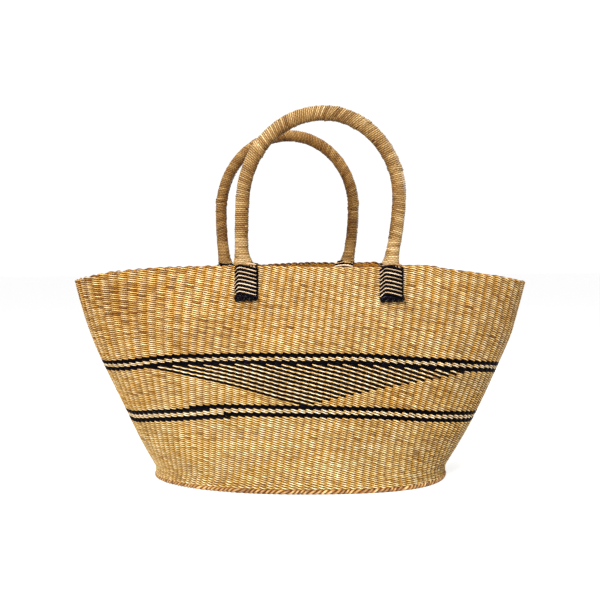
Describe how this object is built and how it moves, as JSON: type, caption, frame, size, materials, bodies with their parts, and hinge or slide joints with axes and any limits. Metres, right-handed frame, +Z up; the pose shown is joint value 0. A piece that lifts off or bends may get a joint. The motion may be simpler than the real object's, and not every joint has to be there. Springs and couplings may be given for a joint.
{
  "type": "woven market basket",
  "caption": "Boat-shaped woven grass tote with an oval foot, long flared rim, two wrapped loop handles and a striped band.",
  "frame": {"origin": "on the floor under the middle of the oval base", "axes": "+X along the basket's length, -Y is the front with the handle that stands to the right, +Z up"},
  "size_m": [0.5014, 0.2252, 0.3946],
  "materials": {
    "straw": "golden tan twined grass, dry and slightly satin, with pale and brown strands",
    "pale_straw": "pale twined grass, slightly satin",
    "brown_straw": "twisted brown grass rope, matte",
    "black_straw": "grass dyed blue-black, slightly satin",
    "striped_weave": "twined weave of alternate black and natural strands that make slanted stripes",
    "striped_lashing": "tight cord lashing in black and natural stripes",
    "handle_straw": "tightly wound straw, satin",
    "grass_core": "bundled dry grass"
  },
  "bodies": {
    "basket": {"base_mat": "straw", "foot_band": "straw", "lower_band": "straw", "middle_band_left": "straw", "middle_band_right": "straw", "upper_band": "straw", "rim_border": "straw", "pale_row_lower": "pale_straw", "pale_row_upper": "pale_straw", "foot_ring": "brown_straw", "dark_row_1": "black_straw", "dark_row_2": "black_straw", "dark_row_3": "black_straw", "dark_row_4": "black_straw", "motif_panel_front": "striped_weave", "motif_panel_back": "striped_weave", "front_left_tongue": "grass_core", "front_left_outer_lashing": "striped_lashing", "front_left_knot": "black_straw", "front_left_saddle": "striped_lashing", "front_left_inner_lashing": "striped_lashing", "front_right_tongue": "grass_core", "front_right_outer_lashing": "striped_lashing", "front_right_knot": "black_straw", "front_right_saddle": "striped_lashing", "front_right_inner_lashing": "striped_lashing", "back_left_tongue": "grass_core", "back_left_outer_lashing": "striped_lashing", "back_left_knot": "black_straw", "back_left_saddle": "striped_lashing", "back_left_inner_lashing": "striped_lashing", "back_right_tongue": "grass_core", "back_right_outer_lashing": "striped_lashing", "back_right_knot": "black_straw", "back_right_saddle": "striped_lashing", "back_right_inner_lashing": "striped_lashing"},
    "front_handle": {"front_handle_core": "grass_core", "front_handle_wrap": "handle_straw", "front_left_leg_binding": "handle_straw", "front_right_leg_binding": "handle_straw"},
    "back_handle": {"back_handle_core": "grass_core", "back_handle_wrap": "handle_straw", "back_left_leg_binding": "handle_straw", "back_right_leg_binding": "handle_straw"}
  },
  "joints": [
    {"name": "front_handle_bend", "type": "hinge", "parent": "basket", "child": "front_handle", "pos_m": [0.0165, -0.09739, 0.2415], "axis": [0.9996, 0.0289, 0], "range_deg": [-34, 60], "stiffness_Nm_per_rad": 0.6},
    {"name": "back_handle_bend", "type": "hinge", "parent": "basket", "child": "back_handle", "pos_m": [-0.0165, 0.09739, 0.2415], "axis": [-0.9996, -0.0289, 0], "range_deg": [-34, 60], "stiffness_Nm_per_rad": 0.6}
  ]
}
